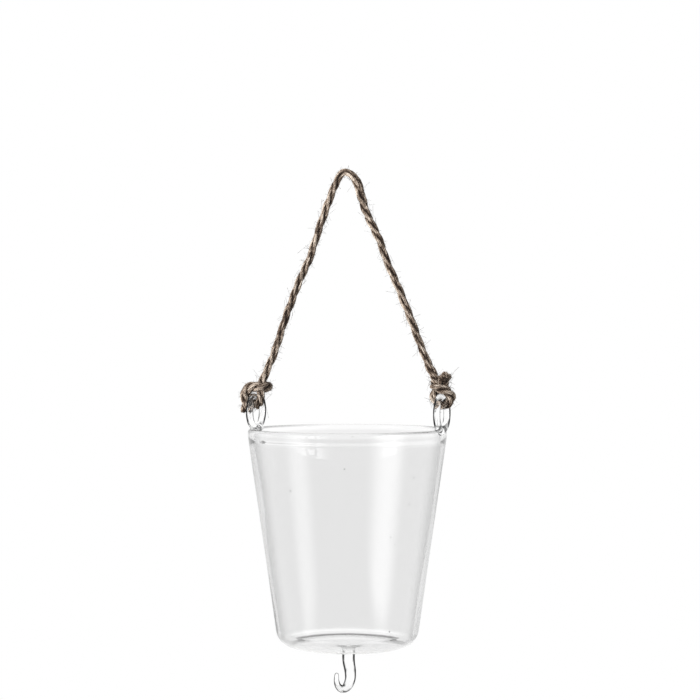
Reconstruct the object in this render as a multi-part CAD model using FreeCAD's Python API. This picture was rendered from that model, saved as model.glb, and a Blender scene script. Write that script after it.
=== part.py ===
import FreeCAD, Part
import math
import os

# Hanging glass bucket vase on a jute twine handle, in millimetres.
# The origin is the hanging point, under the top of the twine handle. +Z is up.
# The ear rings stand on the X axis, and the vase is seen from -Y.

# Glass vessel
lip_drop = 127.3
cup_height = 109.3
lip_outer_d = 100.0
wall_taper_deg = 8.24
wall = 2.3
lip_bead = 3.0
lip_bead_height = 4.2
lip_blend_height = 3.0
floor_thickness = 1.1
base_corner_r = 9.0
floor_corner_r = 7.0

# Ear rings, bent from glass rod and fused on the lip
ear_rod_d = 3.7
ear_outer_d = 21.0
ear_inset = 0.3
ear_sink = 2.4
ear_foot_length = 9.6
ear_foot_width = 4.4
ear_foot_height = 3.6

# Hook under the base, drawn out from glass rod
hook_rod_d = 6.5
hook_throat_rod_d = 4.9
hook_tip_d = 2.1
hook_foot_d = 9.0
hook_foot_height = 1.6
hook_straight = 5.7
hook_sway = 1.6
hook_sway_length = 9.8
hook_bend_r = 5.7
hook_bend_deg = 186.0
hook_tip_length = 1.4
hook_turn_deg = 18.0
hook_off_centre = 0.6
hook_root_share = 0.6

# Jute twine, one length tied through both ear rings
twine_d = 3.6

# Corners of the twine's route, from the left cut end to the right one, counted from the ear
# ring's centre: outwards, towards the viewer and up.
left_tail = [
    (4.3, 4.4, -0.4),
    (4.5, 4.5, 4.6),
    (4.4, 4.3, 9.6),
]
left_knot = [
    (1.4, 4.0, 13.1),
    (-1.6, 4.0, 13.6),
    (-4.9, 4.0, 13.8),
    (-7.3, 1.7, 13.8),
    (-7.3, -1.6, 13.5),
    (-5.0, -3.9, 13.1),
    (-1.5, -4.0, 12.7),
    (2.5, -3.2, 11.9),
]
left_eye = [
    (4.3, -0.6, 9.8),
    (4.0, 0.0, 6.9),
    (1.6, 0.0, 4.6),
    (-1.6, 0.0, 4.6),
    (-4.0, 0.0, 6.9),
    (-4.0, 0.0, 10.2),
]
left_leg_foot = [
    (-3.0, 0.0, 13.3),
    (-5.2, 0.0, 18.6),
]

# Corners of the handle between its feet, as shares of the way out to an ear ring, of the same
# way back from the viewer, and of the drop to the rings' centres.
handle_shares = [
    (-0.803, 0.004, 0.758),
    (-0.696, 0.010, 0.622),
    (-0.511, 0.014, 0.439),
    (-0.400, 0.012, 0.348),
    (-0.302, 0.006, 0.235),
    (-0.157, -0.002, 0.089),
    (-0.070, -0.004, -0.015),
    (0.070, 0.004, -0.015),
    (0.181, 0.002, 0.081),
    (0.243, -0.002, 0.161),
    (0.374, -0.008, 0.284),
    (0.441, -0.012, 0.362),
    (0.592, -0.014, 0.492),
    (0.757, -0.010, 0.676),
]

right_leg_foot = [
    (-6.7, 0.2, 26.6),
    (-3.5, 0.0, 19.2),
    (-1.6, 0.0, 14.0),
]
right_eye = [
    (-4.0, 0.0, 10.3),
    (-4.0, 0.0, 6.9),
    (-1.6, 0.0, 4.6),
    (1.6, 0.0, 4.6),
    (4.0, 0.0, 6.9),
]
right_knot = [
    (4.3, 0.6, 9.8),
    (2.7, 3.3, 11.9),
    (-0.1, 4.0, 12.5),
    (-3.5, 4.1, 13.2),
    (-6.0, 1.7, 14.2),
    (-6.0, -1.5, 14.6),
    (-3.6, -3.9, 14.9),
    (-0.1, -3.8, 15.5),
]
right_tail = [
    (1.9, -2.7, 16.6),
    (2.5, 0.3, 18.0),
    (2.4, 3.4, 18.0),
    (2.5, 6.6, 16.2),
]

# Places worked out from the sizes
lip_z = -lip_drop
base_z = lip_z - cup_height
ear_r = (ear_outer_d - ear_rod_d) / 2
ear_plane_x = lip_outer_d / 2 - ear_inset
ear_z = lip_z - ear_sink + ear_outer_d / 2
taper = math.tan(math.radians(wall_taper_deg))
up = FreeCAD.Vector(0, 0, 1)
run_share = 0.45
hook_sections = 26


def wall_r(below_lip):
    """Outer radius of the tapered wall at a depth below the top of the lip."""
    return lip_outer_d / 2 + (lip_bead_height - below_lip) * taper


def fillet(corner, before, after, radius):
    """The arc that rounds a corner of an outline, as its start, middle and end."""
    first = (before - corner).normalize()
    last = (after - corner).normalize()
    half = first.getAngle(last) / 2
    reach = radius / math.tan(half)
    middle = (first + last).normalize()
    inner = radius / math.sin(half) - radius
    return corner + first * reach, corner + middle * inner, corner + last * reach


def cup_outline():
    """Half section of the cup in the XZ plane, as edges round the glass."""
    inner_shift = wall / math.cos(math.radians(wall_taper_deg))
    bead_z = lip_z - lip_bead_height
    blend_z = bead_z - lip_blend_height
    bead_r = lip_bead / 2
    bead_x = lip_outer_d / 2 - bead_r
    floor_z = base_z + floor_thickness
    point = FreeCAD.Vector
    outer_top = point(lip_outer_d / 2, 0, bead_z)
    outer_corner = point(wall_r(cup_height), 0, base_z)
    base_middle = point(0, 0, base_z)
    floor_middle = point(0, 0, floor_z)
    inner_corner = point(wall_r(cup_height - floor_thickness) - inner_shift, 0, floor_z)
    inner_top = point(wall_r(lip_bead_height + lip_blend_height) - inner_shift, 0, blend_z)
    bead_outer = point(lip_outer_d / 2, 0, lip_z - bead_r)
    bead_top = point(bead_x, 0, lip_z)
    bead_inner = point(bead_x - bead_r, 0, lip_z - bead_r)
    bead_foot = point(bead_x - bead_r, 0, bead_z)
    low = fillet(outer_corner, outer_top, base_middle, base_corner_r)
    high = fillet(inner_corner, floor_middle, inner_top, floor_corner_r)
    return [
        Part.makeLine(bead_outer, outer_top),
        Part.makeLine(outer_top, low[0]),
        Part.Arc(*low).toShape(),
        Part.makeLine(low[2], base_middle),
        Part.makeLine(base_middle, floor_middle),
        Part.makeLine(floor_middle, high[0]),
        Part.Arc(*high).toShape(),
        Part.makeLine(high[2], inner_top),
        Part.makeLine(inner_top, bead_foot),
        Part.makeLine(bead_foot, bead_inner),
        Part.Arc(bead_inner, bead_top, bead_outer).toShape(),
    ]


def glass_vessel():
    """The tapered cup, turned from its half section."""
    section = Part.Face(Part.Wire(cup_outline()))
    return section.revolve(FreeCAD.Vector(0, 0, 0), up, 360)


def ellipsoid(centre, length_x, length_y, length_z):
    """A ball stretched to three lengths."""
    matrix = FreeCAD.Matrix()
    matrix.scale(length_x / length_z, length_y / length_z, 1)
    ball = Part.makeSphere(length_z / 2).transformGeometry(matrix)
    ball.translate(centre)
    return ball


def ear_ring(side, cup):
    """A glass ring in the plane across X, melted into the lip at its foot."""
    centre = FreeCAD.Vector(side * ear_plane_x, 0, ear_z)
    ring = Part.makeTorus(ear_r, ear_rod_d / 2, centre, FreeCAD.Vector(1, 0, 0))
    foot_x = side * (lip_outer_d - lip_bead) / 2
    foot_at = FreeCAD.Vector(foot_x, 0, lip_z)
    foot = ellipsoid(foot_at, ear_foot_width, ear_foot_length, ear_foot_height)
    return ring.fuse(foot).cut(cup).removeSplitter()


def hook_steps():
    """The hook's centreline as steps, each a length and the turn made along it in radians."""
    sway_r = (hook_sway_length**2 + hook_sway**2) / (4 * hook_sway)
    sway_turn = math.asin(hook_sway_length / 2 / sway_r)
    sway_step = sway_r * sway_turn
    bend_turn = math.radians(hook_bend_deg)
    return [
        (hook_straight, 0.0),
        (sway_step, -sway_turn),
        (sway_step, sway_turn),
        (hook_bend_r * bend_turn, bend_turn),
        (hook_tip_length, 0.0),
    ]


def hook_point(along):
    """Place and heading on the hook's centreline at a distance from the base."""
    out = 0.0
    down = 0.0
    heading = 0.0
    for length, turn in hook_steps():
        step = min(along, length)
        part_turn = turn * step / length
        chord = step
        if turn:
            chord = 2 * length / turn * math.sin(part_turn / 2)
        out += chord * math.sin(heading + part_turn / 2)
        down += chord * math.cos(heading + part_turn / 2)
        heading += part_turn
        along -= step
        if along <= 0:
            break
    return out, down, heading


def hook_rod(share):
    """Diameter of the hook's rod at a share of its length: full, then drawn out to the tip."""
    if share < hook_root_share:
        return hook_rod_d + (hook_throat_rod_d - hook_rod_d) * (share / hook_root_share) ** 2
    drawn = (share - hook_root_share) / (1 - hook_root_share)
    return hook_throat_rod_d + (hook_tip_d - hook_throat_rod_d) * drawn


def bottom_hook(cup):
    """The hook: circles lofted along its centreline, a round tip and a flared foot on the base."""
    total = sum(length for length, turn in hook_steps())
    root = base_z + floor_thickness / 2
    circles = [Part.makeCircle(hook_rod_d / 2, FreeCAD.Vector(0, 0, root), up * -1)]
    for index in range(hook_sections + 1):
        share = index / hook_sections
        out, down, heading = hook_point(share * total)
        at = FreeCAD.Vector(0, -out, base_z - down)
        ahead = FreeCAD.Vector(0, -math.sin(heading), -math.cos(heading))
        circles.append(Part.makeCircle(hook_rod(share) / 2, at, ahead))
    rod = Part.makeLoft([Part.Wire(circle) for circle in circles], True)
    tip = Part.makeSphere(hook_tip_d / 2, at)
    base = FreeCAD.Vector(0, 0, base_z)
    flare = Part.makeCone(hook_foot_d / 2, hook_rod_d / 2, hook_foot_height, base, up * -1)
    hook = rod.fuse([tip, flare]).cut(cup)
    hook.rotate(FreeCAD.Vector(0, 0, 0), up, -hook_turn_deg)
    hook.translate(FreeCAD.Vector(hook_off_centre, 0, 0))
    return hook


def from_ear(side, place):
    """A place given as outwards, towards the viewer and up from an ear ring's centre."""
    outward, near, rise = place
    return FreeCAD.Vector(side * (ear_plane_x + outward), -near, ear_z + rise)


def handle_corners():
    """The corners of the free stretch of twine over the hanging point, in the part's frame."""
    left = [from_ear(-1, place) for place in left_leg_foot]
    right = [from_ear(1, place) for place in right_leg_foot]
    middle = [
        FreeCAD.Vector(out * ear_plane_x, back * ear_plane_x, drop * ear_z)
        for out, back, drop in handle_shares
    ]
    return left + middle + right


def twine_corners():
    """The named stretches of the twine from left to right, with their corners in the part's frame."""
    return {
        "left_cord_tail": [from_ear(-1, place) for place in left_tail],
        "left_knot": [from_ear(-1, place) for place in left_knot],
        "left_cord_eye": [from_ear(-1, place) for place in left_eye],
        "cord_handle": handle_corners(),
        "right_cord_eye": [from_ear(1, place) for place in right_eye],
        "right_knot": [from_ear(1, place) for place in right_knot],
        "right_cord_tail": [from_ear(1, place) for place in right_tail],
    }


def corner_arc(route, index):
    """The tangent arc that rounds one corner of the route, and its radius."""
    before, corner, after = route[index - 1 : index + 2]
    half_turn = (corner - before).getAngle(after - corner) / 2
    shorter = min((corner - before).Length, (after - corner).Length)
    radius = run_share * shorter / math.tan(half_turn)
    return fillet(corner, before, after, radius), radius


def stretch_end(route, run):
    """Where a stretch starts or ends: at the route's own end, or else halfway along a run."""
    if run == 0:
        return route[0]
    if run == len(route) - 2:
        return route[-1]
    return (route[run] + route[run + 1]) / 2


def twine_stretch(route, first_run, last_run):
    """A round tube from one run of the route to another, along straight runs and tangent arcs."""
    start = stretch_end(route, first_run)
    edges = []
    radii = []
    for index in range(first_run + 1, last_run + 1):
        arc, radius = corner_arc(route, index)
        edges.append(Part.makeLine(start, arc[0]))
        edges.append(Part.Arc(*arc).toShape())
        radii.append(round(radius, 1))
        start = arc[2]
    edges.append(Part.makeLine(start, stretch_end(route, last_run)))
    spine = Part.Wire(edges)
    foot, ahead = (vertex.Point for vertex in edges[0].Vertexes)
    ring = Part.Wire(Part.makeCircle(twine_d / 2, foot, ahead - foot))
    tube = spine.makePipeShell([ring], True, False)
    by_section = math.pi * twine_d**2 / 4 * spine.Length
    print("length", round(spine.Length, 1), "arc radii", radii)
    print("volume", round(tube.Volume, 1), "by section", round(by_section, 1))
    return tube


def twine_pieces():
    """The twine as its named stretches, which meet face to face."""
    corners = twine_corners()
    route = sum(corners.values(), [])
    pieces = {}
    first_run = 0
    last_corner = -1
    for name, stretch in corners.items():
        last_corner += len(stretch)
        last_run = min(last_corner, len(route) - 2)
        pieces[name] = twine_stretch(route, first_run, last_run)
        first_run = last_run
    return pieces


def main():
    cup = glass_vessel()
    nodes = {
        "glass_vessel": cup,
        "left_ear_ring": ear_ring(-1, cup),
        "right_ear_ring": ear_ring(1, cup),
        "bottom_hook": bottom_hook(cup),
    }
    nodes.update(twine_pieces())
    os.makedirs("parts", exist_ok=True)
    for name, shape in nodes.items():
        box = shape.BoundBox
        print(name, shape.ShapeType, "solids", len(shape.Solids), "valid", shape.isValid(),
              "volume", round(shape.Volume, 1), "X", round(box.XMin, 2), round(box.XMax, 2),
              "Y", round(box.YMin, 2), round(box.YMax, 2), "Z", round(box.ZMin, 2), round(box.ZMax, 2))
        shape.exportStep("parts/" + name + ".step")


main()
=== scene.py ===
import math

import bmesh
import bpy
import numpy as np
from mathutils import Matrix, Vector


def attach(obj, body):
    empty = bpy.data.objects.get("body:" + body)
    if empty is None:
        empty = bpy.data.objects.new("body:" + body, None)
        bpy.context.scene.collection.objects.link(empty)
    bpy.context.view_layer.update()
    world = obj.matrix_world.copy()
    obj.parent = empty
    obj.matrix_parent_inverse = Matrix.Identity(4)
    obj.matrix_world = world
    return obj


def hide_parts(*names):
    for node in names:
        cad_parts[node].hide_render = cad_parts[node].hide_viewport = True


# Hanging glass bucket vase on a jute twine handle, in metres. The hanging point is the origin.
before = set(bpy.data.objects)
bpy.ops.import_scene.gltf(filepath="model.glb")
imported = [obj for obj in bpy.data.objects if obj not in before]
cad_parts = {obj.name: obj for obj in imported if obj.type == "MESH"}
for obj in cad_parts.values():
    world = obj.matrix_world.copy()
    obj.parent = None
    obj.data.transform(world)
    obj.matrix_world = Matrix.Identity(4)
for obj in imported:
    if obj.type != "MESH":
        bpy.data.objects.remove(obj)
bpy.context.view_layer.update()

# Camera, as the photograph was taken: 20 degrees to the right of the front, level with the handle
picture_size = 700
focal_pixels = 1963
sensor_width = 36
camera_azimuth = 20
camera_distance = 0.987
camera_height = -0.0788
axis_column = 347.4
horizon_row = 332

# Glass vessel
lip_z = -0.1273
base_z = -0.2366
lip_r = 0.0500
wall_taper = math.tan(math.radians(8.24))
wall = 0.0023
lip_bead = 0.0030
lip_bead_height = 0.0042
lip_blend_height = 0.0030
floor_thickness = 0.0011

# Radii of the round corners in the cup's section
base_corner_r = 0.0090
floor_corner_r = 0.0070
lip_corner_r = 0.00147
bead_outer_r = 0.018
bead_inner_r = 0.028
blend_corner_r = 0.012

# How finely the cup is turned
corner_step = 0.0007
least_corner_steps = 6
outline_step = 0.0025
cup_segments = 224

# How the cup's walls waver: waves this often round it, less outside than inside, and none at the lip and in
# the middle of the base. A random turn is anything up to a whole one.
waver_depth = 0.00022
waver_counts = (2, 3, 5, 8, 13)
waver_rises = (20, 90)
waver_sizes = (0.3, 1)
waver_inside = -1
waver_outside = 0.4
still_lip_height = 0.004
waver_grows_over = 0.02
waver_seed = 8
whole_turn = 6.28

# Ear rings, and the drop of glass at the foot of each
ear_rod_r = 0.00185
ear_r = 0.00865
ear_plane_x = 0.0497
ear_z = -0.1192
ear_unevenness = 0.03
ear_steps = 120
ear_rod_sides = 32
foot_spread = 0.34
foot_swell_across = 0.0004
foot_swell_out = 0.0002
foot_lean = 0.0009
foot_drop = (0.0022, 0.0048, 0.0018)

# Hook under the base
hook_rod_r = 0.00325
hook_throat_r = 0.00245
hook_tip_r = 0.00105
hook_straight = 0.0057
hook_sway = 0.0016
hook_sway_length = 0.0098
hook_bend_r = 0.0057
hook_bend_deg = 186
hook_tip_length = 0.0014
hook_turn_deg = 18
hook_off_centre = 0.0006
hook_root_share = 0.6
hook_low = -0.2600
hook_step = 0.0005
hook_sides = 36
hook_flare = 0.0016
hook_flare_height = 0.003
hook_flare_share = 0.3
hook_flare_limit = 1.6

# Where the seams of the fused glass are smoothed: within these heights of the lip and the base
ring_seam_height = 0.0022
ring_seam_y = 0.0062
ring_seam_x = 0.044
hook_seam_height = 0.0012
hook_seam_r = (0.002, 0.0065)
seam_passes = 5
weld_distance = 2e-6

# Painted shade that darkens the glass from where it is seen squarely, 0, to where it is seen edge on, 1
painted_wall_edge_shade = (
    (0.0, "#ffffff"), (0.50, "#ffffff"), (0.62, "#ededed"), (0.80, "#bebebe"), (1.0, "#5f5f5f"),
)
painted_rod_edge_shade = ((0.0, "#ffffff"), (0.20, "#fafafa"), (0.27, "#8a8a8a"), (0.34, "#040404"), (1.0, "#000000"))
glass_ior = 1.48
# Painted grey shade of the thin wall, and the white of the thick lip and base where it is left off
painted_wall_shade = "#f1f1f1"
thick_shade = "#fdfdfd"

# The white of the thick base gives way to the wall's painted grey shade between these heights over it, and
# the lip's between these depths under its top
base_fade = (0.001, 0.005)
lip_fade = (0.0022, 0.0034)

# A painted grey shade line along the far edge of the pressed base, with a painted glowing highlight over it.
# Both come in between these distances behind the middle.
base_line_height = 0.0005
base_line_reach = 0.0004
painted_base_line_shade = "#5c5c5c"
glint_height = 0.0029
glint_width = 0.0014
glint_strength = 0.10
far_fade = (0.004, 0.018)

# The mark where the hook's rod is fused to the base
fuse_r = 0.0050
fuse_width = 0.0012
fuse_reach = 0.0006
fuse_shade = "#a8a8a8"

# Painted shade darkens the lip's edge towards the ear rings between these distances from the middle
lip_ends = (0.026, 0.047)
lip_edge = (0.0013, 0.0006)
painted_lip_shade = "#8c8c8c"

# Seed bubbles in the wall: about how far apart they are, and how large
bubble_spacing = 0.0166667
bubble_r = 0.0004
bubble_shade = "#707070"

# The base's thick corner looks milky where it is seen this steeply, and this low over the base
milky_facing = (0.55, 0.7)
milky_height = (0.0010, 0.0006)
milky_share = 0.75

# Painted light: the melted feet and the lip beside them glow
foot_glow = 0.06
foot_glow_reach = 0.0045
lip_glow = 0.03
lip_glow_reach = 0.0075

# How strong the painted dark shade line of the glass rods is, from one place to another: what it goes by, the
# two places, and its strength at each. Rod under the hook's top is the hook's, and the rest is the rings'.
hook_top_z = base_z + 0.01
painted_rod_line = {
    "ring top": ("height", ear_z + 0.0055, ear_z + 0.0085, 1.0, 0.15),
    "ring foot": ("height", lip_z + 0.0008, lip_z + 0.0042, 0.35, 1.0),
    "ring outside": ("outward", -0.3, 0.3, 0.62, 1.25),
    "hook root": ("height", base_z - 0.0032, base_z - 0.0022, 1.0, 0.45),
    "hook bend": ("height", hook_low, hook_low + 0.0062, 0.4, 0.85),
    "hook rod": ("height", base_z - 0.0095, base_z - 0.006, 1.0, 1.3),
    "uneven": ("waves", 0.35, 0.65, 0.78, 1.12),
    "end on": ("facing", 0.74, 0.88, 1.0, 0.3),
}
rod_wave_length = 0.00384615
# Painted black shade mixed into the rod where its line is darkest
painted_rod_black = "#0c0c0c"
black_from = (0.32, 0.48)
black_share = 0.85

# Twine
twine_d = 0.0036
twine_route = [
    (-0.0543, -0.0014, -0.1194),
    (-0.0543, -0.0020, -0.1146),
    (-0.0545, -0.0037, -0.1109),
    (-0.0530, -0.0050, -0.1077),
    (-0.0492, -0.0043, -0.1063),
    (-0.0456, -0.0038, -0.1070),
    (-0.0437, -0.0018, -0.1070),
    (-0.0437, 0.0018, -0.1068),
    (-0.0454, 0.0044, -0.1066),
    (-0.0490, 0.0045, -0.1067),
    (-0.0527, 0.0055, -0.1083),
    (-0.0541, 0.0048, -0.1108),
    (-0.0540, 0.0041, -0.1141),
    (-0.0513, 0.0016, -0.1163),
    (-0.0479, -0.0018, -0.1163),
    (-0.0455, -0.0043, -0.1139),
    (-0.0456, -0.0040, -0.1097),
    (-0.0465, -0.0004, -0.1050),
    (-0.0446, 0.0000, -0.1002),
    (-0.0399, 0.0002, -0.0904),
    (-0.0347, 0.0005, -0.0741),
    (-0.0261, 0.0007, -0.0523),
    (-0.0203, 0.0006, -0.0415),
    (-0.0159, 0.0003, -0.0280),
    (-0.0091, -0.0001, -0.0106),
    (-0.0038, -0.0002, 0.0014),
    (0.0011, 0.0002, 0.0014),
    (0.0062, 0.0002, -0.0050),
    (0.0076, 0.0001, -0.0112),
    (0.0099, -0.0001, -0.0192),
    (0.0180, -0.0004, -0.0339),
    (0.0207, -0.0006, -0.0432),
    (0.0283, -0.0007, -0.0586),
    (0.0369, -0.0005, -0.0806),
    (0.0417, -0.0002, -0.0926),
    (0.0446, 0.0002, -0.0988),
    (0.0472, 0.0006, -0.1034),
    (0.0478, 0.0004, -0.1062),
    (0.0455, 0.0000, -0.1092),
    (0.0455, 0.0000, -0.1124),
    (0.0483, 0.0000, -0.1150),
    (0.0518, -0.0002, -0.1153),
    (0.0545, -0.0004, -0.1126),
    (0.0547, -0.0012, -0.1096),
    (0.0530, -0.0042, -0.1074),
    (0.0498, -0.0046, -0.1063),
    (0.0472, -0.0040, -0.1052),
    (0.0464, -0.0020, -0.1043),
    (0.0466, 0.0020, -0.1036),
    (0.0482, 0.0038, -0.1028),
    (0.0502, 0.0037, -0.1018),
    (0.0514, 0.0018, -0.1009),
    (0.0515, -0.0010, -0.1011),
    (0.0519, -0.0038, -0.1020),
    (0.0527, -0.0068, -0.1034),
]

# How full the slack twine of the knots and tails is, and how close its twist, at places along its length
twine_fullness = (
    (0.000, 1.40), (0.010, 1.36), (0.014, 1.42), (0.023, 1.46), (0.029, 1.30), (0.040, 1.22), (0.046, 1.16),
    (0.064, 1.18), (0.072, 1.06), (0.184, 1.06), (0.190, 1.30), (0.199, 1.30), (0.206, 1.06), (0.284, 1.06),
    (0.292, 1.24), (0.304, 1.14), (0.316, 1.14), (0.320, 1.36), (0.336, 1.42), (0.341, 1.46), (0.350, 1.46),
    (0.354, 1.20),
)
twine_twist = (
    (0.010, 1.0), (0.016, 1.8), (0.060, 1.8), (0.068, 1.0), (0.286, 1.0), (0.294, 1.8), (0.345, 1.8),
)
twine_lay = 0.0285

# Plies, and the strips of fibre that lie round each
ply_count = 3
ply_r = 0.00082
ply_core_inset = 0.00014
ply_core_sides = 12
# Painted shade that darkens the ply cores in the gaps between the plies
ply_core_painted_shade = -0.3
fibres_per_ply = 20
fibre_lay = 0.024
fibre_step = 0.0008
fibre_r = 0.00021
fibre_inset = 0.00012
fibre_sides = 5
fibre_tint_spread = 0.13
ragged_ends = 3

# Painted shade: strips deep between the plies are darker, and those on the outside paler
painted_shade_depths = (0.4, 1.0)
unshaded_depth = 0.86

# How much wider the plies, their cores and the strips spread at the two cut ends
fray_length = 0.0035
ply_spread = 0.35
core_spread = 0.2
fibre_spread = 0.4

# How the twine wavers: about every so far along it, and by how much
twist_waver = (0.022, 0.5)
ply_waver = (0.011, 0.05)
fibre_turn_waver = (0.012, 0.22)
fibre_reach_waver = (0.006, 0.055)
fibre_width_waver = (0.009, 0.16)
fibre_tint_waver = (0.004, 0.1)
ply_seed = 3
first_fibre_seed = 20

# Fuzz and long loose hairs. The middle and the tip of a hair's bow are in parts of its length.
hairs_per_square_metre = 260000
hair_length = 0.0021
hair_seed = 11
stray_hairs_per_square_metre = 8000
stray_hair_length = 0.0048
stray_hair_seed = 5
hair_thickness = 0.00007
hair_middle = (0.05, 0, 0.62)
hair_tip = (0.5, 0, 0.85)
hair_lean = 1.15
hair_sizes = (0.35, 1.7)

# Jute, from dark brown and the painted shade of the gaps to pale straw, with blotches and a grain. The grain
# of real bast fibre is finer, and it is drawn as coarse as it needs to show.
jute_shades = ((0.20, "#251b15"), (0.44, "#625347"), (0.62, "#9a8a7c"), (0.88, "#cfc2b4"))
blotch_size = 0.00232558
blotch_weight = 1.1
grain_size = 0.000384615
grain_depth = 0.0001
grain_strength = 0.35
jute_roughness = 0.82
jute_gloss = 0.25

# Studio. A softbox has its degrees to the right of the camera and upwards, its distance from the middle, its
# width and height, and its watts. A streak, which shows only on the glass, has its glow in place of watts.
softboxes = (
    ("large softbox", -48, 20, 1.5, 0.9, 1.3, 36),
    ("strip softbox", 49, 4, 1.4, 0.30, 1.1, 0.4),
    ("back softbox", 190, 20, 1.6, 1.2, 1.2, 14),
)
streaks = (
    ("right streak", 49, 1.5, 0.95, 1.1, 1.0, 5.4),
    ("left streak", -60, 1.5, 0.95, 0.8, 1.0, 3.6),
)
softbox_middle = (0, 0, -0.15)
streak_middle = (0, 0, -0.18)
streak_even_share = 0.42
ambient_strength = 0.22
floor_z = -0.75
floor_r = 6
floor_shade = "#f2f2f0"
shadow_fade = (0.25, 0.9)

# Settings that many nodes share
multiply = {"operation": "MULTIPLY"}
multiply_add = {"operation": "MULTIPLY_ADD"}
compare = {"operation": "COMPARE"}
less_than = {"operation": "LESS_THAN"}
dot = {"operation": "DOT_PRODUCT"}
tinted = {"data_type": "RGBA", "blend_type": "MULTIPLY"}


def linear(code):
    """An sRGB hex colour as the linear red, green, blue and alpha that a shader takes."""
    parts = [int(code[i : i + 2], 16) / 255 for i in (1, 3, 5)]
    return [c / 12.92 if c <= 0.04045 else ((c + 0.055) / 1.055) ** 2.4 for c in parts] + [1.0]


def add_node(tree, kind, settings=None, shades=(), **inputs):
    """Adds a node. Settings are its properties, and inputs its sockets' values or where they come from.

    Shades are the stops of a colour ramp, each with its place and its hex code.
    """
    node = tree.nodes.new(kind)
    for name, value in (settings or {}).items():
        setattr(node, name, value)
    for index, (spot, code) in enumerate(shades):
        stop = node.color_ramp.elements[index] if index < 2 else node.color_ramp.elements.new(spot)
        stop.position = spot
        stop.color = linear(code)
    for name, value in inputs.items():
        label = name.replace("_", " ")
        socket = node.inputs[int(name[1:])] if name[0] == "i" and name[1:].isdigit() else node.inputs[label]
        if isinstance(value, bpy.types.NodeSocket):
            tree.links.new(value, socket)
        else:
            socket.default_value = value
    return node


def new_material(name):
    material = bpy.data.materials.new(name)
    material.use_nodes = True
    material.node_tree.nodes.clear()
    return material, material.node_tree


def placed(name, data):
    """An object in the scene with this mesh, lamp or camera."""
    obj = bpy.data.objects.new(name, data)
    bpy.context.scene.collection.objects.link(obj)
    return obj


def mesh_object(name, vertices, faces):
    mesh = bpy.data.meshes.new(name)
    mesh.from_pydata(vertices, [], faces)
    mesh.polygons.foreach_set("use_smooth", [True] * len(mesh.polygons))
    return placed(name, mesh)


def add_camera():
    azimuth = math.radians(camera_azimuth)
    ahead = Vector((-math.sin(azimuth), math.cos(azimuth), 0))
    right = Vector((math.cos(azimuth), math.sin(azimuth), 0))
    up = Vector((0, 0, 1))
    middle = picture_size / 2
    aim = ahead * focal_pixels + right * (middle - axis_column) - up * (middle - horizon_row)
    data = bpy.data.cameras.new("camera")
    data.sensor_width = sensor_width
    data.lens = sensor_width * focal_pixels / picture_size
    camera = placed("camera", data)
    camera.location = up * camera_height - ahead * camera_distance
    camera.rotation_euler = aim.to_track_quat("-Z", "Y").to_euler()
    bpy.context.scene.camera = camera


def twine_line():
    """The points down the middle of the twine, read from a smooth curve on the route."""
    curve = bpy.data.curves.new("twine_route", "CURVE")
    curve.dimensions = "3D"
    spline = curve.splines.new("NURBS")
    spline.points.add(len(twine_route) - 1)
    for point, place in zip(spline.points, twine_route):
        point.co = (*place, 1)
    spline.order_u = 3
    spline.use_endpoint_u = True
    spline.resolution_u = 12
    holder = bpy.data.objects.new("twine_route", curve)
    mesh = bpy.data.meshes.new_from_object(holder)
    line = np.array([v.co for v in mesh.vertices])
    bpy.data.meshes.remove(mesh)
    bpy.data.objects.remove(holder)
    bpy.data.curves.remove(curve)
    return line


def evenly(line, step):
    """The same line with evenly spaced points, and how far along it each one is."""
    along = np.r_[0, np.cumsum(np.linalg.norm(np.diff(line, axis=0), axis=1))]
    at = np.linspace(0, along[-1], round(along[-1] / step) + 1)
    return np.stack([np.interp(at, along, line[:, k]) for k in range(3)], axis=1), at


def cross_axes(line):
    """Two directions across a line at each point, carried along it without twisting."""
    ahead = np.gradient(line, axis=0)
    ahead /= np.linalg.norm(ahead, axis=1)[:, None]
    side = np.cross(ahead[0], (0.0, 0.0, 1.0))
    starts_upright = np.linalg.norm(side) < 0.1
    if starts_upright:
        side = np.cross(ahead[0], (0.0, 1.0, 0.0))
    sides = []
    for direction in ahead:
        side = side - direction * (side @ direction)
        side /= np.linalg.norm(side)
        sides.append(side)
    sides = np.array(sides)
    return sides, np.cross(ahead, sides)


def round_about(line, across, over, turn, out):
    """The points that lie so far out from a line, turned so far round it."""
    return line + (np.cos(turn) * out)[:, None] * across + (np.sin(turn) * out)[:, None] * over


def tube_arrays(line, radii, sides_count):
    """Vertices and faces of a round tube with closed ends along a line."""
    across, over = cross_axes(line)
    angles = np.linspace(0, 2 * math.pi, sides_count, endpoint=False)[None, :, None]
    ring = np.cos(angles) * across[:, None] + np.sin(angles) * over[:, None]
    vertices = (line[:, None] + ring * radii[:, None, None]).reshape(-1, 3)
    rows, cols = np.meshgrid(np.arange(len(line) - 1), np.arange(sides_count), indexing="ij")
    here = rows * sides_count + cols
    beside = rows * sides_count + (cols + 1) % sides_count
    faces = np.stack([here, beside, beside + sides_count, here + sides_count], axis=-1).reshape(-1, 4)
    last = (len(line) - 1) * sides_count
    caps = [list(range(sides_count))[::-1], list(range(last, last + sides_count))]
    return vertices, faces.tolist(), caps


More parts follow.
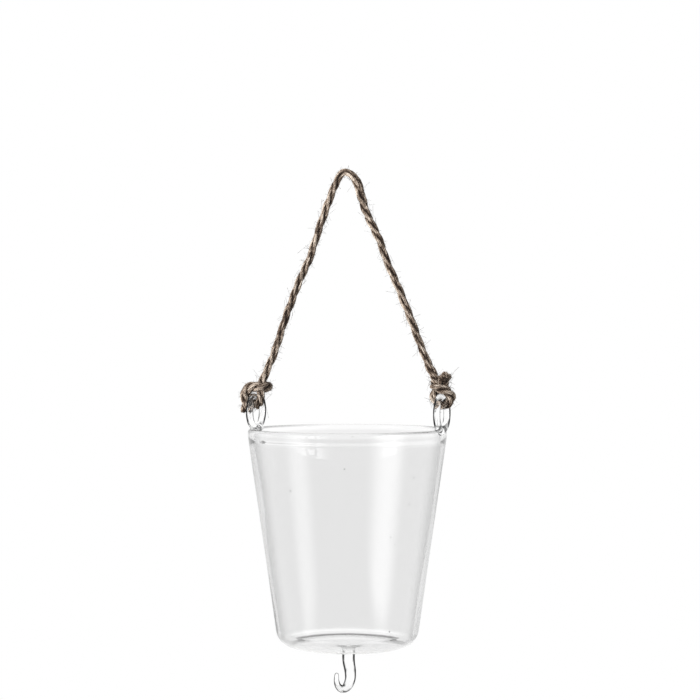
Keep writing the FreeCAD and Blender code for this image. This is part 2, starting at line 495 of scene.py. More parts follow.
def joined_tubes(name, tubes, sides_count):
    """One mesh of several tubes, each given as its line, its radii and its tints and painted shade along the
    line.
    """
    vertices, faces, tints_and_shades = [], [], []
    start = 0
    for line, radii, tint_and_shade in tubes:
        more, quads, caps = tube_arrays(line, radii, sides_count)
        vertices.append(more)
        faces += [[i + start for i in face] for face in quads + caps]
        tints_and_shades += np.repeat(tint_and_shade, sides_count).tolist()
        start += len(more)
    obj = mesh_object(name, np.concatenate(vertices).tolist(), faces)
    attribute = obj.data.attributes.new("tint_and_shade", "FLOAT", "POINT")
    attribute.data.foreach_set("value", tints_and_shades)
    return obj


def wandering(rng, at, every, amount):
    """A slow random change along a line: one value for each place, about every so far."""
    knots = np.arange(0, at[-1] + every, every)
    return np.interp(at, knots, rng.normal(0, amount, len(knots)))


def fullness(at, spread):
    """How much wider the twine is at each place: fuller in its knots, and open towards its two cut ends."""
    from_end = np.minimum(at, at[-1] - at)
    frayed = 1 + spread * np.clip(1 - from_end / fray_length, 0, 1) ** 2
    return np.interp(at, *zip(*twine_fullness)) * frayed


def twine_plies(line):
    """The middle lines of the plies, twisted leftwards round the twine's line."""
    spots, at = evenly(line, fibre_step)
    across, over = cross_axes(spots)
    rng = np.random.default_rng(ply_seed)
    slow = wandering(rng, at, *twist_waver)
    turns = np.cumsum(np.interp(at, *zip(*twine_twist)) / twine_lay) * at[1]
    plies = []
    for ply in range(ply_count):
        turn = 2 * math.pi * (ply / ply_count - turns) + slow
        out = (twine_d / 2 - ply_r) * (1 + wandering(rng, at, *ply_waver)) * fullness(at, ply_spread)
        plies.append(round_about(spots, across, over, turn, out))
    return spots, at, plies


def ply_fibres(ply, spots, at, rng):
    """The strips of fibre round one ply, twisted against the twine's own twist, with painted shade that makes
    them darker between the plies.
    """
    across, over = cross_axes(ply)
    spread = fullness(at, fibre_spread)
    fibres = []
    for index in range(fibres_per_ply):
        turn = 2 * math.pi * (index / fibres_per_ply + at / fibre_lay) + wandering(rng, at, *fibre_turn_waver)
        out = (ply_r - fibre_inset) * (1 + wandering(rng, at, *fibre_reach_waver)) * spread
        path = round_about(ply, across, over, turn, out)
        radii = fibre_r * np.exp(wandering(rng, at, *fibre_width_waver)) * fullness(at, 0)
        depth = np.linalg.norm(path - spots, axis=1) / (twine_d / 2 * spread)
        tint_and_shade = rng.normal(0, fibre_tint_spread) + wandering(rng, at, *fibre_tint_waver)
        # Painted shade: strips deep between the plies are darker
        tint_and_shade += np.clip(depth, *painted_shade_depths) - unshaded_depth
        first = rng.integers(0, ragged_ends)
        last = len(at) - rng.integers(0, ragged_ends)
        fibres.append((path[first:last], radii[first:last], tint_and_shade[first:last]))
    return fibres


def jute_material():
    """Natural jute: dull, dry bast fibre that runs from dark brown to pale straw from strip to strip, with
    painted shade between the plies.
    """
    material, tree = new_material("natural jute, spun and plied")
    place = add_node(tree, "ShaderNodeTexCoord").outputs["Object"]
    tint_and_shade = add_node(tree, "ShaderNodeAttribute", {"attribute_name": "tint_and_shade"}).outputs["Fac"]
    blotches = add_node(
        tree, "ShaderNodeTexNoise", Vector=place, Scale=1 / blotch_size, Detail=4.0, Roughness=0.65
    ).outputs["Fac"]
    mixed = add_node(tree, "ShaderNodeMath", multiply_add, i0=blotches, i1=blotch_weight, i2=tint_and_shade).outputs[0]
    tone = add_node(tree, "ShaderNodeValToRGB", shades=jute_shades, Fac=mixed)
    grain = add_node(tree, "ShaderNodeTexNoise", Vector=place, Scale=1 / grain_size, Detail=2.0)
    bump = add_node(
        tree, "ShaderNodeBump", Height=grain.outputs["Fac"], Strength=grain_strength, Distance=grain_depth
    )
    shader = add_node(
        tree,
        "ShaderNodeBsdfPrincipled",
        Base_Color=tone.outputs["Color"],
        Roughness=jute_roughness,
        Specular_IOR_Level=jute_gloss,
        Normal=bump.outputs["Normal"],
    )
    add_node(tree, "ShaderNodeOutputMaterial", Surface=shader.outputs[0])
    return material


def hair_tree():
    """Geometry nodes that grow short curved fibres from a surface."""
    tree = bpy.data.node_groups.new("twine hairs", "GeometryNodeTree")
    sockets = (
        ("Geometry", "NodeSocketGeometry"),
        ("Hairs per square metre", "NodeSocketFloat"),
        ("Hair length", "NodeSocketFloat"),
        ("Hair thickness", "NodeSocketFloat"),
        ("Seed", "NodeSocketInt"),
        ("Hair material", "NodeSocketMaterial"),
    )
    for name, kind in sockets:
        tree.interface.new_socket(name, in_out="INPUT", socket_type=kind)
    tree.interface.new_socket("Geometry", in_out="OUTPUT", socket_type="NodeSocketGeometry")
    given = tree.nodes.new("NodeGroupInput").outputs
    seed, length = given["Seed"], given["Hair length"]
    roots = add_node(
        tree,
        "GeometryNodeDistributePointsOnFaces",
        Mesh=given["Geometry"],
        Density=given["Hairs per square metre"],
        Seed=seed,
    )
    bow = add_node(tree, "GeometryNodeCurveQuadraticBezier", Resolution=6, Middle=hair_middle, End=hair_tip)
    divide = {"operation": "DIVIDE"}
    slimness = add_node(tree, "ShaderNodeMath", divide, i0=given["Hair thickness"], i1=length)
    section = add_node(tree, "GeometryNodeCurvePrimitiveCircle", Resolution=3, Radius=slimness.outputs[0])
    hair = add_node(tree, "GeometryNodeCurveToMesh", Curve=bow.outputs[0], Profile_Curve=section.outputs[0])
    lean = add_node(
        tree,
        "FunctionNodeRandomValue",
        {"data_type": "FLOAT_VECTOR"},
        Seed=seed,
        i0=(-hair_lean, -hair_lean, 0.0),
        i1=(hair_lean, hair_lean, whole_turn),
    )
    turned = add_node(
        tree,
        "FunctionNodeRotateRotation",
        {"rotation_space": "LOCAL"},
        Rotation=roots.outputs["Rotation"],
        Rotate_By=add_node(tree, "FunctionNodeEulerToRotation", Euler=lean.outputs[0]).outputs[0],
    )
    least, most = hair_sizes
    size = add_node(tree, "FunctionNodeRandomValue", {"data_type": "FLOAT"}, Seed=seed, i2=least, i3=most)
    planted = add_node(
        tree,
        "GeometryNodeInstanceOnPoints",
        Points=roots.outputs["Points"],
        Instance=hair.outputs[0],
        Rotation=turned.outputs[0],
        Scale=add_node(tree, "ShaderNodeMath", multiply, i0=size.outputs[1], i1=length).outputs[0],
    )
    real = add_node(tree, "GeometryNodeRealizeInstances", Geometry=planted.outputs[0])
    finished = add_node(
        tree, "GeometryNodeSetMaterial", Geometry=real.outputs[0], Material=given["Hair material"]
    )
    add_node(tree, "NodeGroupOutput", Geometry=finished.outputs[0])
    return tree


def grown(name, source, tree, values):
    """A plain mesh of what a geometry nodes tree makes on a mesh."""
    maker = placed(name, source.data.copy())
    modifier = maker.modifiers.new(name, "NODES")
    modifier.node_group = tree
    for socket in tree.interface.items_tree:
        if socket.in_out == "INPUT" and socket.name in values:
            modifier[socket.identifier] = values[socket.name]
    made = maker.evaluated_get(bpy.context.evaluated_depsgraph_get())
    mesh = bpy.data.meshes.new_from_object(made)
    maker.modifiers.clear()
    maker.data = mesh
    return maker


def make_twine():
    jute = jute_material()
    spots, at, plies = twine_plies(twine_line())
    core_r = (ply_r - ply_core_inset) * fullness(at, core_spread)
    # The ply cores carry painted shade
    core_painted_shade = np.full(len(at), ply_core_painted_shade)
    core = joined_tubes("twine_plies", [(ply, core_r, core_painted_shade) for ply in plies], ply_core_sides)
    core.data.materials.append(jute)
    parts = []
    for index, ply in enumerate(plies):
        rng = np.random.default_rng(first_fibre_seed + index)
        strips = joined_tubes("twine_fibres_%d" % (index + 1), ply_fibres(ply, spots, at, rng), fibre_sides)
        strips.data.materials.append(jute)
        parts.append(strips)
    fuzz = {
        "Hairs per square metre": hairs_per_square_metre,
        "Hair length": hair_length,
        "Hair thickness": hair_thickness / 2,
        "Seed": hair_seed,
        "Hair material": jute,
    }
    strays = fuzz | {
        "Hairs per square metre": stray_hairs_per_square_metre,
        "Hair length": stray_hair_length,
        "Seed": stray_hair_seed,
    }
    tree = hair_tree()
    parts.append(grown("twine_hairs", core, tree, fuzz))
    parts.append(grown("twine_stray_hairs", core, tree, strays))
    for piece in [core] + parts:
        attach(piece, "hanger")
    twine_nodes = [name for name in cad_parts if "cord" in name or "knot" in name]
    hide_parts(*twine_nodes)


def rounded(corners):
    """An outline with arcs at those corners that have a radius.

    Each corner is a place across, a height and a radius.
    """
    outline = []
    for index, (x, z, radius) in enumerate(corners):
        corner = Vector((x, z))
        if not radius:
            outline.append(corner)
            continue
        to_last = (Vector(corners[index - 1][:2]) - corner).normalized()
        to_next = (Vector(corners[index + 1][:2]) - corner).normalized()
        half = to_last.angle(to_next) / 2
        centre = corner + (to_last + to_next).normalized() * radius / math.sin(half)
        first = corner + to_last * radius / math.tan(half) - centre
        last = corner + to_next * radius / math.tan(half) - centre
        steps = max(least_corner_steps, round(radius * (math.pi - 2 * half) / corner_step))
        for step in range(steps + 1):
            share = step / steps
            outline.append(centre + (first * (1 - share) + last * share).normalized() * radius)
    return outline


def divided(outline, longest):
    """The outline with points added so that no run is longer than that."""
    points = [outline[0]]
    for start, end in zip(outline, outline[1:]):
        steps = max(1, math.ceil((end - start).length / longest))
        points += [start.lerp(end, step / steps) for step in range(1, steps + 1)]
    return points


def cup_outline():
    """Half section of the cup, from the middle of its base round the lip to the middle of its floor."""
    def wall_r(z):
        return lip_r + (z - lip_z + lip_bead_height) * wall_taper

    across_wall = wall / math.cos(math.atan(wall_taper))
    bead_z = lip_z - lip_bead_height
    blend_z = bead_z - lip_blend_height
    inside_z = base_z + floor_thickness
    corners = [
        (0, base_z, 0),
        (wall_r(base_z), base_z, base_corner_r),
        (lip_r, bead_z, bead_outer_r),
        (lip_r, lip_z, lip_corner_r),
        (lip_r - lip_bead, lip_z, lip_corner_r),
        (lip_r - lip_bead, bead_z, bead_inner_r),
        (wall_r(blend_z) - across_wall, blend_z, blend_corner_r),
        (wall_r(inside_z) - across_wall, inside_z, floor_corner_r),
        (0, inside_z, 0),
    ]
    return divided(rounded(corners), outline_step)


def turned_cup(name, outline):
    """The cup, turned round the Z axis. Its walls waver a little, as hand-blown glass does."""
    rng = np.random.default_rng(waver_seed)
    angles = np.linspace(0, 2 * math.pi, cup_segments, endpoint=False)
    waves = [
        (k, rng.uniform(0, whole_turn), rng.uniform(*waver_rises), rng.uniform(*waver_sizes) / k)
        for k in waver_counts
    ]
    vertices, faces = [], []
    for index, (r, z) in enumerate(outline[1:-1]):
        under_lip = min(1.0, max(0.0, (lip_z - still_lip_height - z) / waver_grows_over))
        fade = under_lip * min(1.0, r / waver_grows_over)
        wave = sum(size * np.sin(k * angles + phase + z * rise) for k, phase, rise, size in waves)
        side = waver_inside if index > len(outline) / 2 else waver_outside
        reach = r + side * waver_depth * fade * wave
        ring = [reach * np.cos(angles), reach * np.sin(angles), np.full(cup_segments, z)]
        vertices += np.stack(ring, axis=1).tolist()
    for row in range(len(outline) - 3):
        for col in range(cup_segments):
            here, beside = row * cup_segments + col, row * cup_segments + (col + 1) % cup_segments
            faces.append((here, beside, beside + cup_segments, here + cup_segments))
    bottom, top = len(vertices), len(vertices) + 1
    last = len(vertices) - cup_segments
    vertices += [(0, 0, outline[0][1]), (0, 0, outline[-1][1])]
    for col in range(cup_segments):
        faces.append((bottom, (col + 1) % cup_segments, col))
        faces.append((top, last + col, last + (col + 1) % cup_segments))
    return mesh_object(name, vertices, faces)


def ear_ring(name, side):
    """A ring of glass rod, thicker at the foot where it has melted into the lip."""
    around = np.linspace(0, 2 * math.pi, ear_steps, endpoint=False)
    angles = np.linspace(0, 2 * math.pi, ear_rod_sides, endpoint=False)[:, None]
    foot = np.exp(-((np.abs(around - math.pi) / foot_spread) ** 2))
    vertices = []
    for spot, swell in zip(around, foot):
        out = np.array([0, math.sin(spot), math.cos(spot)])
        rod_r = ear_rod_r * (1 + ear_unevenness * math.sin(2 * spot + side))
        across = np.cos(angles) * np.array([side, 0, 0]) * (rod_r + foot_swell_across * swell)
        over = np.sin(angles) * out * (rod_r + foot_swell_out * swell)
        centre = np.array([side * (ear_plane_x - foot_lean * swell), 0, ear_z]) + out * ear_r
        vertices += (centre + across + over).tolist()
    faces = []
    for row in range(ear_steps):
        after = (row + 1) % ear_steps
        for col in range(ear_rod_sides):
            beside = (col + 1) % ear_rod_sides
            corners = (row, col), (row, beside), (after, beside), (after, col)
            faces.append(tuple(a * ear_rod_sides + b for a, b in corners))
    return mesh_object(name, vertices, faces)


def foot_bead(name, side):
    """The drop of melted glass between a ring and the lip."""
    mesh = bpy.data.meshes.new(name)
    drop = bmesh.new()
    bmesh.ops.create_uvsphere(drop, u_segments=40, v_segments=24, radius=1)
    place = Matrix.Translation((side * (lip_r - lip_bead / 2), 0, lip_z))
    bmesh.ops.transform(drop, matrix=place @ Matrix.Diagonal((*foot_drop, 1)), verts=drop.verts)
    drop.to_mesh(mesh)
    drop.free()
    return placed(name, mesh)


def hook_line():
    """The hook's middle line, drawn out from the base and bent round, and its radius along it."""
    sway_r = (hook_sway_length**2 + hook_sway**2) / (4 * hook_sway)
    sway_turn = math.asin(hook_sway_length / 2 / sway_r)
    bend_turn = math.radians(hook_bend_deg)
    runs = [
        (floor_thickness / 2 + hook_straight, 0.0),
        (sway_r * sway_turn, -sway_turn),
        (sway_r * sway_turn, sway_turn),
        (hook_bend_r * bend_turn, bend_turn),
        (hook_tip_length, 0.0),
    ]
    out, down, heading = 0.0, -floor_thickness / 2, 0.0
    points = [(out, down)]
    for length, turn in runs:
        count = max(3, round(length / hook_step))
        for _ in range(count):
            heading += turn / count / 2
            out += math.sin(heading) * length / count
            down += math.cos(heading) * length / count
            heading += turn / count / 2
            points.append((out, down))
    spin = math.radians(hook_turn_deg)
    across, back = math.sin(spin), math.cos(spin)
    line = np.array([(hook_off_centre - o * across, -o * back, base_z - d) for o, d in points])
    share = np.linspace(0, 1, len(line))
    drawn = np.clip((share - hook_root_share) / (1 - hook_root_share), 0, 1)
    root = hook_rod_r + (hook_throat_r - hook_rod_r) * np.clip(share / hook_root_share, 0, 1) ** 2
    radii = np.where(drawn > 0, hook_throat_r + (hook_tip_r - hook_throat_r) * drawn, root)
    below = base_z - line[:, 2]
    flare = np.clip(1 - below / hook_flare_height, 0, hook_flare_limit) ** 2 * hook_flare
    return line, radii + np.where((below < hook_flare_height) & (share < hook_flare_share), flare, 0)


def round_tip(line, radii):
    """Adds a half ball to the end of a tapered line."""
    first_turn, last_turn, ring_count = 0.2, 1.45, 7
    ahead = line[-1] - line[-2]
    ahead /= np.linalg.norm(ahead)
    turns = np.linspace(first_turn, last_turn, ring_count)
    more = line[-1] + np.sin(turns)[:, None] * ahead * radii[-1]
    return np.concatenate([line, more]), np.concatenate([radii, np.cos(turns) * radii[-1]])


def bottom_hook(name):
    line, radii = round_tip(*hook_line())
    vertices, quads, caps = tube_arrays(line, radii, hook_sides)
    return mesh_object(name, vertices.tolist(), quads + caps)


def on_seam(place):
    """Whether a point of the glass lies where a ring or the hook is fused to the cup."""
    off_lip, off_base = abs(place.z - lip_z), abs(place.z - base_z)
    nearest, furthest = hook_seam_r
    at_ring = off_lip < ring_seam_height and abs(place.y) < ring_seam_y and abs(place.x) > ring_seam_x
    return at_ring or (off_base < hook_seam_height and nearest < place.xy.length < furthest)


def melted_together(body, others):
    """One closed mesh of the pieces of glass, with their seams smoothed as a flame does."""
    for other in others:
        union = body.modifiers.new(other.name, "BOOLEAN")
        union.operation = "UNION"
        union.solver = "EXACT"
        union.material_mode = "TRANSFER"
        union.object = other
    made = body.evaluated_get(bpy.context.evaluated_depsgraph_get())
    mesh = bpy.data.meshes.new_from_object(made)
    body.modifiers.clear()
    body.data = mesh
    for other in others:
        bpy.data.objects.remove(other)
    solid = bmesh.new()
    solid.from_mesh(mesh)
    bmesh.ops.remove_doubles(solid, verts=solid.verts, dist=weld_distance)
    seam = [v for v in solid.verts if on_seam(v.co)]
    every_way = {"use_axis_x": True, "use_axis_y": True, "use_axis_z": True}
    for _ in range(seam_passes):
        bmesh.ops.smooth_vert(solid, verts=seam, factor=0.5, **every_way)
    bmesh.ops.triangulate(solid, faces=[face for face in solid.faces if len(face.verts) > 4])
    bmesh.ops.recalc_face_normals(solid, faces=solid.faces)
    for face in solid.faces:
        face.smooth = True
    solid.to_mesh(mesh)
    solid.free()
    return body


def blown_glass():
    """Clear blown glass, fire polished, with painted shade that makes it pale grey and darker edge on, and
    white at its thick lip and base.
    """
    material, tree = new_material("clear glass, blown thin")
    facing = add_node(tree, "ShaderNodeLayerWeight", Blend=0.5).outputs["Facing"]
    place = add_node(tree, "ShaderNodeTexCoord").outputs["Object"]
    height = add_node(tree, "ShaderNodeSeparateXYZ", i0=place).outputs["Z"]
    off_base = add_node(
        tree, "ShaderNodeMapRange", Value=height, i1=base_z + base_fade[0], i2=base_z + base_fade[1]
    ).outputs[0]
    off_lip = add_node(
        tree, "ShaderNodeMapRange", Value=height, i1=lip_z - lip_fade[0], i2=lip_z - lip_fade[1]
    ).outputs[0]
    on_wall = add_node(tree, "ShaderNodeMath", multiply, i0=off_base, i1=off_lip).outputs[0]
    # Painted grey shade on the wall, white at the thick lip and base
    thick, thin = linear(thick_shade), linear(painted_wall_shade)
    tone = add_node(tree, "ShaderNodeMix", {"data_type": "RGBA"}, i0=on_wall, i6=thick, i7=thin).outputs[2]
    # Painted shade, darker where the glass is seen edge on
    edge_on = add_node(tree, "ShaderNodeMath", multiply, i0=facing, i1=off_base).outputs[0]
    painted_edge_shade = add_node(tree, "ShaderNodeValToRGB", shades=painted_wall_edge_shade, Fac=edge_on).outputs["Color"]
    tone = add_node(tree, "ShaderNodeMix", tinted, i0=1.0, i6=tone, i7=painted_edge_shade).outputs[2]

    # Painted shade: a grey line along the far edge of the pressed base, with a painted glowing highlight over
    # it
    turn = math.radians(camera_azimuth)
    ahead = (-math.sin(turn), math.cos(turn), 0)
    behind = add_node(tree, "ShaderNodeVectorMath", dot, i0=place, i1=ahead).outputs["Value"]
    far = add_node(tree, "ShaderNodeMapRange", Value=behind, i1=far_fade[0], i2=far_fade[1]).outputs[0]
    low = add_node(
        tree, "ShaderNodeMath", compare, i0=height, i1=base_z + base_line_height, i2=base_line_reach
    ).outputs[0]
    line = add_node(tree, "ShaderNodeMath", multiply, i0=low, i1=far).outputs[0]
    tone = add_node(tree, "ShaderNodeMix", tinted, i0=line, i6=tone, i7=linear(painted_base_line_shade)).outputs[2]
    over = add_node(
        tree, "ShaderNodeMath", compare, i0=height, i1=base_z + glint_height, i2=glint_width / 2
    ).outputs[0]
    glint = add_node(tree, "ShaderNodeMath", multiply, i0=over, i1=far).outputs[0]

    # The hook's foot draws a grey ring under the base
    middle = (-hook_off_centre, 0, 0)
    flat = add_node(tree, "ShaderNodeVectorMath", multiply_add, i0=place, i1=(1, 1, 0), i2=middle).outputs[0]
    out = add_node(tree, "ShaderNodeVectorMath", {"operation": "LENGTH"}, i0=flat).outputs["Value"]
    fused = add_node(tree, "ShaderNodeMath", compare, i0=out, i1=fuse_r, i2=fuse_width / 2).outputs[0]
    near = add_node(tree, "ShaderNodeMath", compare, i0=height, i1=base_z, i2=fuse_reach).outputs[0]
    mark = add_node(tree, "ShaderNodeMath", multiply, i0=fused, i1=near).outputs[0]
    tone = add_node(tree, "ShaderNodeMix", tinted, i0=mark, i6=tone, i7=linear(fuse_shade)).outputs[2]

    # Painted shade: the lip's edge is darker towards the ear rings
    either_side = add_node(tree, "ShaderNodeVectorMath", {"operation": "ABSOLUTE"}, i0=place).outputs[0]
    beside = add_node(tree, "ShaderNodeSeparateXYZ", i0=either_side).outputs["X"]
    ends = add_node(tree, "ShaderNodeMapRange", Value=beside, i1=lip_ends[0], i2=lip_ends[1]).outputs[0]
    top = add_node(
        tree, "ShaderNodeMapRange", Value=height, i1=lip_z - lip_edge[0], i2=lip_z - lip_edge[1]
    ).outputs[0]
    lip = add_node(tree, "ShaderNodeMath", multiply, i0=ends, i1=top).outputs[0]
    tone = add_node(tree, "ShaderNodeMix", tinted, i0=lip, i6=tone, i7=linear(painted_lip_shade)).outputs[2]

    # A few seed bubbles
    seeds = add_node(
        tree, "ShaderNodeTexVoronoi", Vector=place, Scale=1 / bubble_spacing
    ).outputs["Distance"]
    bubble = add_node(tree, "ShaderNodeMath", less_than, i0=seeds, i1=bubble_r / bubble_spacing).outputs[0]
    bubble = add_node(tree, "ShaderNodeMath", multiply, i0=bubble, i1=on_wall).outputs[0]
    tone = add_node(tree, "ShaderNodeMix", tinted, i0=bubble, i6=tone, i7=linear(bubble_shade)).outputs[2]

    # From below, the thick corner of the base is seen edge on and looks milky
    steep = add_node(
        tree, "ShaderNodeMapRange", Value=facing, i1=milky_facing[0], i2=milky_facing[1]
    ).outputs[0]
    under = add_node(
        tree, "ShaderNodeMapRange", Value=height, i1=base_z + milky_height[0], i2=base_z + milky_height[1]
    ).outputs[0]
    milky = add_node(tree, "ShaderNodeMath", multiply, i0=under, i1=steep).outputs[0]
    clear = add_node(tree, "ShaderNodeMath", multiply_add, i0=milky, i1=-milky_share, i2=1.0).outputs[0]

    # Painted light: the glint over the base and the lip beside the rings' feet glow
    gleam = add_node(tree, "ShaderNodeMath", multiply, i0=glint, i1=glint_strength).outputs[0]
    lit = add_node(tree, "ShaderNodeMath", compare, i0=height, i1=lip_z, i2=lip_glow_reach).outputs[0]
    lit = add_node(tree, "ShaderNodeMath", multiply, i0=lit, i1=ends).outputs[0]
    gleam = add_node(tree, "ShaderNodeMath", multiply_add, i0=lit, i1=lip_glow, i2=gleam).outputs[0]
    shader = add_node(
        tree,
        "ShaderNodeBsdfPrincipled",
        Base_Color=tone,
        Roughness=0.0,
        IOR=glass_ior,
        Transmission_Weight=clear,
        Emission_Color=linear("#ffffff"),
        Emission_Strength=gleam,
    )
    add_node(tree, "ShaderNodeOutputMaterial", Surface=shader.outputs[0])
    return material


def rod_glass():
    """Clear flame-bent glass rod: white inside, with a painted black shade line where it is seen edge on."""
    material, tree = new_material("clear glass rod, flame bent")
    facing = add_node(tree, "ShaderNodeLayerWeight", Blend=0.5).outputs["Facing"]
    given = add_node(tree, "ShaderNodeTexCoord").outputs
    place, normal = given["Object"], given["Normal"]
    split = add_node(tree, "ShaderNodeSeparateXYZ", i0=place).outputs
    height = split["Z"]
    turn = math.radians(camera_azimuth)
    right = (math.cos(turn), math.sin(turn), 0)
    beside = add_node(tree, "ShaderNodeVectorMath", dot, i0=normal, i1=right).outputs["Value"]
    half = add_node(tree, "ShaderNodeMath", {"operation": "SIGN"}, i0=split["Y"]).outputs[0]
    outward = add_node(tree, "ShaderNodeMath", multiply, i0=beside, i1=half).outputs[0]
    waves = add_node(
        tree, "ShaderNodeTexNoise", Vector=place, Scale=1 / rod_wave_length, Detail=1.0
    ).outputs["Fac"]

    # The painted shade line fades at a ring's top and foot, and is stronger round the ring's outside than in
    # its hole.
    # On the hook it fades at the root and in the bend, and seen almost along the rod it clears again.
    goes_by = {"height": height, "outward": outward, "waves": waves, "facing": facing}
    fades = {}
    for name, (source, first, last, at_first, at_last) in painted_rod_line.items():
        value = goes_by[source]
        fade = add_node(tree, "ShaderNodeMapRange", Value=value, i1=first, i2=last, i3=at_first, i4=at_last)
        fades[name] = fade.outputs[0]
    ring, hook = fades["ring top"], fades["hook root"]
    for name in ("ring foot", "ring outside"):
        ring = add_node(tree, "ShaderNodeMath", multiply, i0=ring, i1=fades[name]).outputs[0]
    for name in ("hook bend", "hook rod"):
        hook = add_node(tree, "ShaderNodeMath", multiply, i0=hook, i1=fades[name]).outputs[0]
    low = add_node(tree, "ShaderNodeMath", less_than, i0=height, i1=hook_top_z).outputs[0]
    line = add_node(tree, "ShaderNodeMix", i0=low, i2=ring, i3=hook).outputs[0]
    for name in ("uneven", "end on"):
        line = add_node(tree, "ShaderNodeMath", multiply, i0=line, i1=fades[name]).outputs[0]
    edge_on = add_node(tree, "ShaderNodeMath", multiply, i0=facing, i1=line).outputs[0]

    # Painted shade along the rod's edges
    tone = add_node(tree, "ShaderNodeValToRGB", shades=painted_rod_edge_shade, Fac=edge_on).outputs["Color"]

    # Painted light: the melted foot glows
    foot = add_node(tree, "ShaderNodeMath", compare, i0=height, i1=lip_z, i2=foot_glow_reach).outputs[0]
    gleam = add_node(tree, "ShaderNodeMath", multiply, i0=foot, i1=foot_glow).outputs[0]
    glass = add_node(
        tree,
        "ShaderNodeBsdfPrincipled",
        Base_Color=tone,
        Roughness=0.0,
        IOR=glass_ior,
        Transmission_Weight=1.0,
        Emission_Color=linear("#ffffff"),
        Emission_Strength=gleam,
    )
    # Painted black shade, mixed in where the rod is seen edge on
    black = add_node(tree, "ShaderNodeBsdfDiffuse", Color=linear(painted_rod_black))
    share = add_node(
        tree, "ShaderNodeMapRange", Value=edge_on, i1=black_from[0], i2=black_from[1], i3=0.0, i4=black_share
    ).outputs[0]
    mixed = add_node(tree, "ShaderNodeMixShader", i0=share, i1=glass.outputs[0], i2=black.outputs[0])
    add_node(tree, "ShaderNodeOutputMaterial", Surface=mixed.outputs[0])
    return material


def make_glass():
    cup = turned_cup("glass_bucket", cup_outline())
    others = [ear_ring("ring_left", -1), ear_ring("ring_right", 1)]
    others += [foot_bead("bead_left", -1), foot_bead("bead_right", 1), bottom_hook("hook")]
    cup.data.materials.append(blown_glass())
    rod = rod_glass()
    for piece in others:
        piece.data.materials.append(rod)
    glass = melted_together(cup, others)
    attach(glass, "vessel")
    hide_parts("glass_vessel", "left_ear_ring", "right_ear_ring", "bottom_hook")


def white_to_view(tree):
    """1 for what the camera sees directly, mirrored or through glass, and 0 for the light on things."""
    path = add_node(tree, "ShaderNodeLightPath").outputs
    greater = {"operation": "MAXIMUM"}
    seen = add_node(tree, "ShaderNodeMath", greater, i0=path["Is Camera Ray"], i1=path["Is Glossy Ray"])
    either = add_node(tree, "ShaderNodeMath", greater, i0=seen.outputs[0], i1=path["Is Transmission Ray"])
    return either.outputs[0]


def make_world():
    world = bpy.data.worlds.new("plain white studio")
    bpy.context.scene.world = world
    world.use_nodes = True
    tree = world.node_tree
    tree.nodes.clear()
    white = linear("#ffffff")
    ambient = add_node(tree, "ShaderNodeBackground", Color=white, Strength=ambient_strength).outputs[0]
    backdrop = add_node(tree, "ShaderNodeBackground", Color=white, Strength=1.0).outputs[0]
    mixed = add_node(tree, "ShaderNodeMixShader", i0=white_to_view(tree), i1=ambient, i2=backdrop)
    add_node(tree, "ShaderNodeOutputWorld", Surface=mixed.outputs[0])


def make_floor():
    """A plain pale floor well below the hook.

    It keeps the vase's shadow, and further out it is as white as the backdrop.
    """
    mesh = bpy.data.meshes.new("floor")
    disc = bmesh.new()
    lowered = Matrix.Translation((0, 0, floor_z))
    bmesh.ops.create_circle(disc, cap_ends=True, segments=96, radius=floor_r, matrix=lowered)
    disc.to_mesh(mesh)
    disc.free()
    material, tree = new_material("matt white floor paint")
    place = add_node(tree, "ShaderNodeTexCoord").outputs["Object"]
    flat = add_node(tree, "ShaderNodeVectorMath", multiply, i0=place, i1=(1, 1, 0)).outputs[0]
    out = add_node(tree, "ShaderNodeVectorMath", {"operation": "LENGTH"}, i0=flat).outputs["Value"]
    far = add_node(tree, "ShaderNodeMapRange", Value=out, i1=shadow_fade[0], i2=shadow_fade[1]).outputs[0]
    paint = add_node(tree, "ShaderNodeBsdfDiffuse", Color=linear(floor_shade)).outputs[0]
    white = add_node(tree, "ShaderNodeEmission", Color=linear("#ffffff"), Strength=1.0).outputs[0]
    share = add_node(tree, "ShaderNodeMath", multiply, i0=far, i1=white_to_view(tree)).outputs[0]
    mixed = add_node(tree, "ShaderNodeMixShader", i0=share, i1=paint, i2=white)
    add_node(tree, "ShaderNodeOutputMaterial", Surface=mixed.outputs[0])
    mesh.materials.append(material)
    placed("floor", mesh)


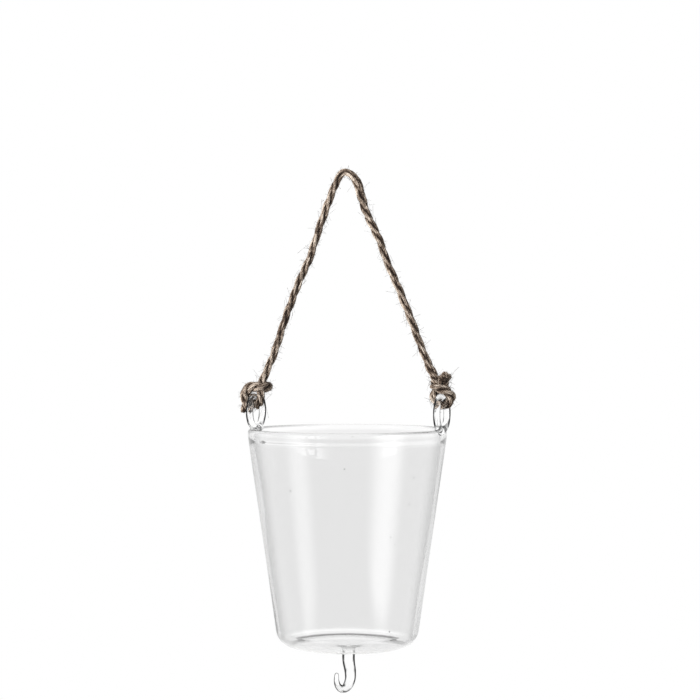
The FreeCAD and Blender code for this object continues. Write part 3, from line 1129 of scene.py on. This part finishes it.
def add_softbox(name, turn, rise, distance, width, height, power):
    """A soft light that faces the vase, turned so many degrees to the right of the camera."""
    azimuth = math.radians(camera_azimuth + turn)
    flat = math.cos(math.radians(rise))
    away = Vector((math.sin(azimuth) * flat, -math.cos(azimuth) * flat, math.sin(math.radians(rise))))
    data = bpy.data.lights.new(name, "AREA")
    data.shape = "RECTANGLE"
    data.size = width
    data.size_y = height
    data.energy = power
    lamp = placed(name, data)
    lamp.location = Vector(softbox_middle) + away * distance
    lamp.rotation_euler = away.to_track_quat("Z", "Y").to_euler()
    lamp.visible_camera = lamp.visible_glossy = lamp.visible_transmission = False


def add_streak(name, turn, rise, distance, width, height, strength):
    """A glowing card that shows only as a soft streak of light on the glass, brightest down its middle."""
    azimuth = math.radians(camera_azimuth + turn)
    away = Vector((math.sin(azimuth), -math.cos(azimuth), math.tan(math.radians(rise))))
    mesh = bpy.data.meshes.new(name)
    sheet = bmesh.new()
    spread = Matrix.Diagonal((width, height, 1, 1))
    bmesh.ops.create_grid(sheet, x_segments=1, y_segments=1, size=0.5, matrix=spread)
    sheet.to_mesh(mesh)
    sheet.free()
    card = placed(name, mesh)
    card.location = Vector(streak_middle) + away * distance
    card.rotation_euler = Vector((away.x, away.y, 0)).to_track_quat("Z", "Y").to_euler()
    material, tree = new_material(name)
    place = add_node(tree, "ShaderNodeTexCoord").outputs["Object"]
    either_side = add_node(tree, "ShaderNodeVectorMath", {"operation": "ABSOLUTE"}, i0=place).outputs[0]
    split = add_node(tree, "ShaderNodeSeparateXYZ", i0=either_side).outputs
    soft = {"interpolation_type": "SMOOTHERSTEP"}
    fades = []
    for way, first, last in (("X", 0.0, width / 2), ("Y", height * streak_even_share, height / 2)):
        fade = add_node(tree, "ShaderNodeMapRange", soft, Value=split[way], i1=first, i2=last, i3=1.0, i4=0.0)
        fades.append(fade.outputs[0])
    share = add_node(tree, "ShaderNodeMath", multiply, i0=fades[0], i1=fades[1]).outputs[0]
    clear = add_node(tree, "ShaderNodeBsdfTransparent").outputs[0]
    glow = add_node(tree, "ShaderNodeEmission", Color=linear("#ffffff"), Strength=strength).outputs[0]
    mixed = add_node(tree, "ShaderNodeMixShader", i0=share, i1=clear, i2=glow)
    add_node(tree, "ShaderNodeOutputMaterial", Surface=mixed.outputs[0])
    mesh.materials.append(material)
    card.visible_camera = card.visible_diffuse = card.visible_transmission = card.visible_shadow = False


add_camera()
make_twine()
make_glass()
make_world()
make_floor()
for softbox in softboxes:
    add_softbox(*softbox)
for streak in streaks:
    add_streak(*streak)

bpy.context.scene.view_settings.view_transform = "Standard"
